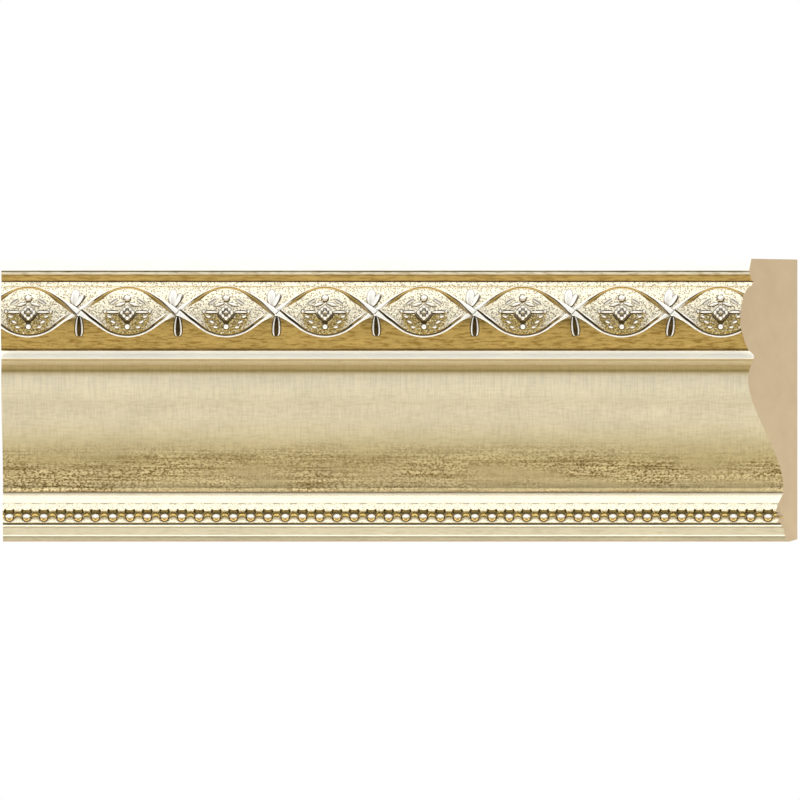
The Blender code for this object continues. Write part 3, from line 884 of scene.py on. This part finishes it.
class Carving:
    """Collects closed flat-laid shapes, in millimetres across, up and out, into one unit mesh."""

    def __init__(self):
        self.points = []
        self.faces = []
        self.shade_glaze = []
        self.raised_highlight = []

    def add(self, points, faces, shade_glaze, highlight_wear):
        first = len(self.points)
        self.points += [tuple(coordinate * MM for coordinate in point) for point in points]
        self.faces += [tuple(first + index for index in face) for face in faces]
        self.shade_glaze += shade_glaze
        top = max(point[2] for point in points)
        # High points are painted pale as highlight.
        self.raised_highlight += [highlight_wear * min(1.0, max(0.0, point[2] / top * 2.0 - 0.7)) for point in points]

    def lump(self, across, up, half_across, half_up, rise, lean=0.0, power=2.0, point=0.0, line=0.24,
             dark=1.0, face=0.0, highlight_wear=0.8):
        """A rounded lump in a thin line of painted shade. point draws its two ends out to a tip."""
        turn = math.radians(lean)
        sides = 20
        levels = 7
        points = [(across, up, rise)]
        shade_glaze = [face]
        rings = []

        def add_ring(reach, lift, shade):
            rings.append(list(range(len(points), len(points) + sides)))
            for side in range(sides):
                angle = math.tau * side / sides
                x = (half_across * min(reach, 1.0) + max(0.0, reach - 1.0)) * math.cos(angle)
                y = (half_up * min(reach, 1.0) + max(0.0, reach - 1.0)) * math.sin(angle)
                y *= 1 - point * abs(math.cos(angle)) ** 2
                points.append((across + x * math.cos(turn) - y * math.sin(turn),
                               up + x * math.sin(turn) + y * math.cos(turn), lift))
                shade_glaze.append(shade)

        for level in range(1, levels + 1):
            share = math.sin(math.pi / 2 * level / levels)
            lift = max(0.13, rise * (max(0.0, 1 - share ** power)) ** (1 / power))
            add_ring(share, lift, dark if level == levels else face)
        add_ring(1 + line, 0.12, dark)
        add_ring(1 + line, -0.7, dark)
        self.add(points, closed_patch(rings, 0), shade_glaze, highlight_wear)

    def ring(self, across, up, radius, half_width, rise, lobes, lobe_share, corner):
        """A raised ring, drawn out at four corners and swelling into lobes."""
        sides = 48
        # Each section point is (offset, lift, painted shade).
        section = ((-1.3, -0.7, 1.0), (-1.3, 0.15, 1.0), (-0.85, 0.3, 0.8), (-0.7, 0.75, 0.0),
                   (-0.3, 0.98, 0.0), (0.3, 0.98, 0.0), (0.7, 0.75, 0.0), (0.9, 0.3, 0.8),
                   (1.3, 0.15, 1.0), (1.3, -0.7, 1.0))
        points = []
        faces = []
        shade_glaze = []
        for side in range(sides):
            angle = math.tau * side / sides
            middle = radius * (1 + corner * math.cos(4 * angle))
            swell = 1 + lobe_share * math.cos(lobes * angle)
            for offset, lift, shade in section:
                reach = middle + offset * half_width * swell
                out = lift * rise * swell if lift > 0 else lift
                points.append((across + reach * math.cos(angle), up + reach * math.sin(angle), out))
                # Painted shade in the dips between the lobes.
                between = lobe_share * 3 * max(0.0, -math.cos(lobes * angle)) ** 4
                shade_glaze.append(max(shade, between))
        count = len(section)
        for side in range(sides):
            near = side * count
            far = (side + 1) % sides * count
            for index in range(count):
                following = (index + 1) % count
                faces.append((near + index, far + index, far + following, near + following))
        self.add(points, faces, shade_glaze, 0.9)

    def leaf(self, across, up, half_length, half_width, lean, rim, vein, blunt=1.0, belly=0.0, dark=1.0,
             line=0.2, vein_dark=0.6, vein_share=0.4, highlight_wear=0.8):
        """A leaf with a raised rim, a hollow along its middle and a line of painted shade round it;
        vein_dark paints shade into the hollow.
        """
        steps = 22
        turn = math.radians(lean)
        hollow = vein / rim
        section = ((-1.0, -0.7, dark), (-1.0, 0.15, dark), (-0.99, 0.2, dark), (-0.85, 0.8, 0.0),
                   (-0.62, 1.0, 0.0), (-vein_share, hollow, vein_dark), (0.0, hollow * 0.9, vein_dark),
                   (vein_share, hollow, vein_dark), (0.62, 1.0, 0.0), (0.85, 0.8, 0.0),
                   (0.99, 0.2, dark), (1.0, 0.15, dark), (1.0, -0.7, dark))
        points = []
        shade_glaze = []
        count = len(section)
        for step in range(steps + 1):
            along = -math.cos(math.pi * step / steps)
            width = max(0.04, math.sqrt(max(0.0, 1 - along * along)) ** blunt) * (1 - belly * along)
            for offset, lift, shade in section:
                skirt = line if abs(offset) == 1.0 else 0.0
                x = offset * half_width * width + math.copysign(skirt, offset)
                y = along * (half_length + skirt)
                out = lift * rim * (0.35 + 0.65 * min(1.0, width * 1.6)) if lift > 0 else lift
                points.append((across + x * math.cos(turn) - y * math.sin(turn),
                               up + x * math.sin(turn) + y * math.cos(turn), out))
                shade_glaze.append(shade)
        faces = []
        for step in range(steps):
            near = step * count
            far = near + count
            for index in range(count):
                following = (index + 1) % count
                faces.append((near + index, near + following, far + following, far + index))
        faces.append(tuple(reversed(range(count))))
        faces.append(tuple(range(steps * count, steps * count + count)))
        self.add(points, faces, shade_glaze, highlight_wear)

    def unit(self, name):
        mesh = bpy.data.meshes.new(name)
        mesh.from_pydata(self.points, [], self.faces)
        store(mesh, "shade_glaze", self.shade_glaze)
        store(mesh, "raised_highlight", self.raised_highlight)
        face_outwards(mesh)
        return placed(name, mesh)


def closed_strip(name, front, back):
    """A closed slab between a grid of front points and the rim of a grid of back points."""
    rows, columns = front.shape[:2]
    grid = np.arange(rows * columns).reshape(rows, columns)
    corners = [grid[:-1, :-1], grid[1:, :-1], grid[1:, 1:], grid[:-1, 1:]]
    faces = np.stack(corners, axis=-1).reshape(-1, 4)
    rim = np.concatenate([grid[0, :], grid[1:, -1], grid[-1, -2::-1], grid[-2:0:-1, 0]])
    first_back = rows * columns
    places = np.concatenate([front.reshape(-1, 3), back.reshape(-1, 3)[rim]])
    order = np.arange(len(rim))
    following = (order + 1) % len(rim)
    walls = np.stack([rim, rim[following], first_back + following, first_back + order], axis=-1)
    closed = faces.tolist() + walls.tolist() + [(first_back + order).tolist()]
    mesh = bpy.data.meshes.new(name)
    mesh.from_pydata(places.tolist(), [], closed)
    return mesh


def rosette_ground():
    """The stippled lens of ground inside one oval, bounded by the ribbons."""
    columns = 150
    rows = 68
    half_length = 14.2
    across = np.linspace(-half_length, half_length, columns)
    wave = np.cos(math.pi * across / (ROSETTE_PITCH / MM))
    swing = RIBBON_SWING / MM
    stretch = np.hypot(1.0, math.pi * swing / (ROSETTE_PITCH / MM) * np.sqrt(1 - wave * wave))
    under_high = (1.5 - 1.1 * smooth_step((wave - 0.6) / 0.4)) * stretch
    under_low = (1.85 - 1.25 * smooth_step((wave - 0.42) / 0.48)) * stretch
    top = np.maximum(swing * wave - under_high, 0.12)
    foot = -np.maximum(swing * wave - under_low, 0.12)
    share = np.linspace(1.0, 0.0, rows)[:, None]
    x = np.tile(across, (rows, 1))
    y = foot * (1 - share) + top * share
    pits = np.zeros(x.shape)
    for index in np.ndindex(x.shape):
        place = (x[index], y[index])
        pits[index] = (noise.noise(Vector((place[0] * 1.5, place[1] * 1.5, 2.0)))
                       + 0.6 * noise.noise(Vector((place[0] * 2.6, place[1] * 2.6, 5.0))))
    near_middle = 1 - smooth_step((np.hypot(x / 8.2, y / 8.4) - 0.92) / 0.16)
    # Only the lower middle keeps deep gold; the rest of the lens is painted pale as highlight.
    unhighlighted_middle = near_middle * (1 - smooth_step((y + 0.9) / 1.4))
    inside = np.minimum(np.minimum(top - y, y - foot), half_length - np.abs(x))
    edge = 1 - np.minimum(1.0, inside / 0.4)
    lift = 0.05 + 0.16 * pits - 0.2 * edge
    front = np.stack([x, y, lift], axis=-1) * MM
    back = np.stack([x, y, np.full(x.shape, -0.7)], axis=-1) * MM
    mesh = closed_strip("rosette_ground", front, back)
    rim_count = len(mesh.vertices) - x.size
    # Painted shade in the deepest pits.
    specks = 0.3 * smooth_step((-0.10 - pits) / 0.16)
    store(mesh, "rub_highlight", np.concatenate([1 - unhighlighted_middle.ravel(), np.ones(rim_count)]))
    store(mesh, "shade_glaze", np.concatenate([specks.ravel(), np.zeros(rim_count)]))
    return placed("rosette_ground", mesh)


def rosette_unit():
    """Rosette, flat laid about its own centre: across, up and out in millimetres."""
    carving = Carving()
    carving.lump(0.0, -0.1, 0.8, 0.75, 0.22, dark=0.8, highlight_wear=0.1)
    for side in (-1, 1):
        carving.lump(side * 2.4, 2.8, 1.9, 0.55, 0.55, lean=side * -16, point=0.3, line=0.18)
        carving.leaf(side * 4.8, 3.9, 1.7, 0.75, lean=side * 58, rim=0.36, vein=0.2, dark=0.5, line=0.12,
                     highlight_wear=0.5)
        carving.lump(side * 5.1, 0.1, 2.4, 0.40, 0.6, power=2.5, line=0.34)
        carving.lump(side * 7.9, 0.3, 0.5, 0.5, 0.4)
        carving.lump(side * 6.3, -1.5, 0.85, 0.34, 0.4, lean=side * 14, dark=0.5, highlight_wear=1.0)
        carving.lump(side * 5.0, -3.4, 0.95, 0.36, 0.45, lean=side * 24, dark=0.5, highlight_wear=1.0)
        carving.lump(side * 3.8, -5.2, 0.85, 0.34, 0.45, lean=side * 10, dark=0.5, highlight_wear=1.0)
        # A low dark strip each side: painted shadow below the ring.
        carving.lump(side * 1.9, -1.9, 1.7, 0.2, 0.2, lean=side * 48, dark=0.9, face=0.9, highlight_wear=0.0)
    carving.ring(0.0, -0.1, 1.75, 0.56, 0.82, lobes=8, lobe_share=0.2, corner=0.15)
    carving.lump(0.0, 4.95, 1.15, 1.15, 0.8, line=0.3)
    # A low dark lump: painted shadow under the ring.
    carving.lump(0.0, -3.45, 0.95, 0.4, 0.14, face=0.9, highlight_wear=0.0)
    carving.lump(0.0, -5.0, 0.95, 0.85, 0.8, power=3.0, highlight_wear=1.0)
    return carving.unit("rosette_unit")


def make_rosettes(materials):
    tree = row_tree()
    rows = (("rosettes", rosette_unit(), "relief"), ("rosette_grounds", rosette_ground(), "stippled"))
    for name, unit, finish in rows:
        mesh = grow(name, tree, {
            "Count": ROSETTE_COUNT, "First": (FIRST_ROSETTE, 0.0, 0.0),
            "Step": (ROSETTE_PITCH, 0.0, 0.0), "Unit": unit, "Material": materials[finish]})
        bpy.data.objects.remove(unit)
        lay_on_band(mesh)
        cut_to_length(mesh)
        bare_cuts(mesh, materials["foam"])
        if name == "rosettes":
            store_highlight(mesh)
        piece(name, mesh, 50)


# The bud above and the drop below each crossing: height above the band's middle, and lean in degrees.
TIE_BUD_HEIGHT = 2.2 * MM
TIE_DROP_HEIGHT = -0.6 * MM
TIE_BUD_LEANS = (-3.0, 2.0, 5.0, 0.0, -1.0, 2.0, -5.0)
TIE_DROP_LEANS = (0.0, 0.0, -2.0, 2.0, 0.0, 7.0, -8.0)


def tie_bud_unit():
    carving = Carving()
    carving.leaf(-1.2, 3.1, 2.9, 1.45, lean=-8, rim=0.4, vein=0.25, vein_dark=0.35, dark=0.7, highlight_wear=0.45)
    carving.leaf(0.4, 2.0, 2.6, 0.9, lean=-32, rim=0.85, vein=0.75, vein_dark=0.0, highlight_wear=1.0)
    # A thin dark strip: painted shadow along the right side of the bud.
    carving.lump(2.05, 2.7, 1.5, 0.1, 0.18, lean=64, line=0.1, dark=0.9, face=0.9, highlight_wear=0.0)
    return carving.unit("tie_bud_unit")


def tie_drop_unit():
    carving = Carving()
    carving.leaf(0.45, -4.2, 3.5, 1.45, lean=0, rim=0.8, vein=0.12, blunt=0.7, belly=0.25, vein_dark=1.0,
                 vein_share=0.3, highlight_wear=1.0)
    carving.lump(0.3, -0.3, 0.75, 0.42, 0.9, line=0.15, highlight_wear=1.0)
    return carving.unit("tie_drop_unit")


def make_ties(materials):
    tree = leaning_row_tree()
    rows = (("tie_buds", tie_bud_unit(), TIE_BUD_HEIGHT, TIE_BUD_LEANS),
            ("tie_drops", tie_drop_unit(), TIE_DROP_HEIGHT, TIE_DROP_LEANS))
    for name, unit, height, leans in rows:
        host = bpy.data.meshes.new(name + "_places")
        places = [(FIRST_ROSETTE + ROSETTE_PITCH * (index + 0.5), height, 0.0)
                  for index in range(len(leans))]
        host.from_pydata(places, [], [])
        lean = host.attributes.new("lean", "FLOAT", "POINT")
        for index, degrees in enumerate(leans):
            lean.data[index].value = math.radians(degrees)
        mesh = grow(name, tree, {"Unit": unit, "Material": materials["relief"]}, host)
        bpy.data.objects.remove(unit)
        lay_on_band(mesh)
        store_highlight(mesh)
        piece(name, mesh, 50)


def bead_bed(x, height):
    """The bed that the beads sit in: its depth, its painted shade, and where the painted highlight is
    held back so the foil stays deep.
    """
    offset = np.abs((x - FIRST_BEAD + BEAD_PITCH / 2) % BEAD_PITCH - BEAD_PITCH / 2) / MM
    tall = height / MM
    # The slope ends in an edge that rises over each bead, with a small horn on both sides of it.
    slope = np.minimum(7.05 + (BED_TOP - tall) * 0.34, 7.95)
    horn = np.exp(-((offset - 1.5) / 0.34) ** 2)
    by_bead = smooth_step((2.0 - offset) / 0.4)
    edge = -39.75 + 0.75 * by_bead + 0.35 * horn
    above = smooth_step((tall - edge) / 0.24)
    # A link hangs from bead to bead, and a ledge runs along the foot.
    arch = -40.3 - 1.1 * np.clip(2.6 - offset, 0, 1) ** 2
    link = np.sqrt(np.clip(1 - ((tall - arch) / 0.62) ** 2, 0, 1)) * smooth_step((offset - 1.45) / 0.2)
    ledge = np.clip((-41.5 - tall) / 1.6, 0, 1)
    lower = np.maximum(6.4 + 1.35 * link, 6.5 + 1.0 * ledge)
    depth = lower * (1 - above) + slope * above
    # Painted shade lies beside the horns and over each bead, round each bead, along the foot and the
    # top.
    under_edge = smooth_step((1.65 - offset) / 0.2) * smooth_step((-39.3 - tall) / 0.15)
    crown = (1 - above) * np.maximum(horn * smooth_step((tall + 40.1) / 0.2),
                                     0.35 * under_edge * smooth_step((tall + 40.35) / 0.15))
    crescent = 0.9 * smooth_step((1.6 - offset) / 0.2) * np.clip(1 - np.abs(tall + 39.85) / 0.32, 0, 1)
    crown = np.maximum(crown, crescent)
    shaded = (0.2 + 0.6 * by_bead) * np.clip(1 - np.abs(tall + 42.45) / 0.55, 0, 1)
    round_bead = np.hypot(offset / 1.66, (tall - BEAD_HEIGHT / MM) / 1.52)
    outline = 0.6 * (1 - smooth_step((round_bead - 0.97) / 0.1))
    line = (0.3 + 0.6 * (1 - by_bead)) * np.clip(1 - np.abs(tall + 36.5) / 0.3, 0, 1)
    # The painted highlight is held back on the links and beside the upper part of each bead.
    unhighlighted = np.maximum(smooth_step(link / 0.3), by_bead * smooth_step((tall + 40.5) / 0.2)) * (1 - above)
    return depth * MM, np.maximum(np.maximum(crown, outline), np.maximum(line, shaded)), unhighlighted


def make_bead_bed(materials):
    """A thin closed strip that carries the scalloped channel along the whole length."""
    heights = np.linspace(BED_TOP, BED_FOOT, BED_ROWS) * MM
    share = np.linspace(0.0, 1.0, BED_COLUMNS)
    front = np.zeros((BED_ROWS, BED_COLUMNS, 3))
    shade_glaze = np.zeros((BED_ROWS, BED_COLUMNS))
    unhighlighted = np.zeros((BED_ROWS, BED_COLUMNS))
    half_length = LENGTH / 2 - CUT_INSET
    for row, height in enumerate(heights):
        end = half_length - 7.2 * MM
        for _ in range(3):
            end = half_length - bead_bed(np.array([end]), height)[0][0]
        x = -half_length + share * (end + half_length)
        depth, shade_glaze[row], unhighlighted[row] = bead_bed(x, height)
        front[row] = np.column_stack([x, -depth, np.full(BED_COLUMNS, height)])
    back = front.copy()
    back[:, :, 1] = -BED_BACK * MM
    back[:, -1, 0] = half_length - BED_BACK * MM
    mesh = closed_strip("bead_bed", front, back)
    face_outwards(mesh)
    mesh.materials.append(materials["bed"])
    bare_cuts(mesh, materials["foam"])
    behind = np.zeros(len(mesh.vertices) - shade_glaze.size)
    store(mesh, "shade_glaze", np.concatenate([shade_glaze.ravel(), behind]))
    store(mesh, "unhighlighted", np.concatenate([unhighlighted.ravel(), behind]))
    store_highlight(mesh)
    piece("bead_bed", mesh, 50)


def make_beads(materials):
    shape = bmesh.new()
    bmesh.ops.create_uvsphere(shape, u_segments=24, v_segments=14, radius=BEAD_RADIUS)
    shade = []
    for vertex in shape.verts:
        vertex.co.x *= 1.06 + 0.14 * vertex.co.z / BEAD_RADIUS
        # Painted shade round the bead's back rim, where it meets the bed, and on its underside.
        rim = smooth_step((0.40 + vertex.co.y / BEAD_RADIUS) / 0.25)
        foot = 0.66 * smooth_step((-0.25 - vertex.co.z / BEAD_RADIUS) / 0.4)
        shade.append(max(0.8 * rim, foot))
    data = bpy.data.meshes.new("bead_unit")
    shape.to_mesh(data)
    shape.free()
    store(data, "shade_glaze", shade)
    unit = placed("bead_unit", data)
    mesh = grow("beads", row_tree(), {
        "Count": BEAD_COUNT, "First": (FIRST_BEAD, -BEAD_CENTRE_DEPTH, BEAD_HEIGHT),
        "Step": (BEAD_PITCH, 0.0, 0.0), "Unit": unit, "Material": materials["relief"]})
    bpy.data.objects.remove(unit)
    cut_to_length(mesh)
    bare_cuts(mesh, materials["foam"])
    # Painted highlight on the bead's upper half.
    store_highlight(mesh, -0.10, 0.06)
    piece("beads", mesh)


# Stage, light and camera

def make_stage():
    mesh = bpy.data.meshes.new("floor")
    half = 2.4
    level = -0.32
    corners = [(-half, -half, level), (half, -half, level), (half, half, level), (-half, half, level)]
    mesh.from_pydata(corners, [], [(0, 1, 2, 3)])
    material, _, shader, _ = blank_material("pale_floor")
    shader.inputs["Base Color"].default_value = (0.66, 0.66, 0.65, 1.0)
    shader.inputs["Roughness"].default_value = 0.8
    mesh.materials.append(material)
    placed("floor", mesh)


def make_world():
    """A pale studio: white behind, a bright softbox high in front, and dimmer where the lens stands."""
    world = bpy.data.worlds.new("studio")
    bpy.context.scene.world = world
    world.use_nodes = True
    tree = world.node_tree
    background = tree.nodes["Background"]
    direction = tree.nodes.new("ShaderNodeTexCoord").outputs["Generated"]
    split = add_node(tree, "ShaderNodeSeparateXYZ", Vector=direction)
    upward = maths(tree, "ADD", maths(tree, "MULTIPLY", split.outputs["Z"], 0.5), 0.5)
    front = ramp(tree, upward, ((0.0, 0.60), (0.40, 0.20), (0.55, 0.20), (0.60, 0.50), (0.66, 1.0),
                                (1.0, 1.0)))
    behind = maths(tree, "ADD", maths(tree, "MULTIPLY", split.outputs["Y"], 2.5), 0.5)
    clamp = add_node(tree, "ShaderNodeClamp", Value=behind).outputs[0]
    tree.links.new(mixed(tree, clamp, front, (0.85, 0.85, 0.85)), background.inputs["Color"])
    background.inputs["Strength"].default_value = 1.18


def make_lamp(name, place, target, size_x, size_y, power):
    data = bpy.data.lights.new(name, "AREA")
    data.shape = "RECTANGLE"
    data.size = size_x
    data.size_y = size_y
    data.energy = power
    lamp = placed(name, data)
    lamp.location = place
    lamp.rotation_euler = (Vector(target) - Vector(place)).to_track_quat("-Z", "Y").to_euler()
    lamp.visible_camera = False


def make_camera():
    data = bpy.data.cameras.new("camera")
    data.lens = LENS_MM
    data.sensor_width = SENSOR_MM
    camera = placed("camera", data)
    camera.location = VIEW_CENTRE - Vector((0, FRAME_WIDTH * LENS_MM / SENSOR_MM, 0))
    camera.rotation_euler = (math.radians(90), 0, 0)
    data.clip_start = 0.1
    data.clip_end = 30
    bpy.context.scene.camera = camera


def main():
    bpy.context.scene.view_settings.view_transform = "Standard"
    make_camera()
    make_world()
    make_stage()
    make_lamp("overhead", (0.0, -0.9, 1.3), (0, 0, 0), 2.4, 1.0, 11.0)
    make_lamp("card_below", (0.0, 0.05, -0.30), (0, 0.051, 0), 1.6, 0.34, 5.2)
    materials = make_materials()
    make_body(materials)
    make_ribbons(materials)
    make_rosettes(materials)
    make_ties(materials)
    make_bead_bed(materials)
    make_beads(materials)


main()
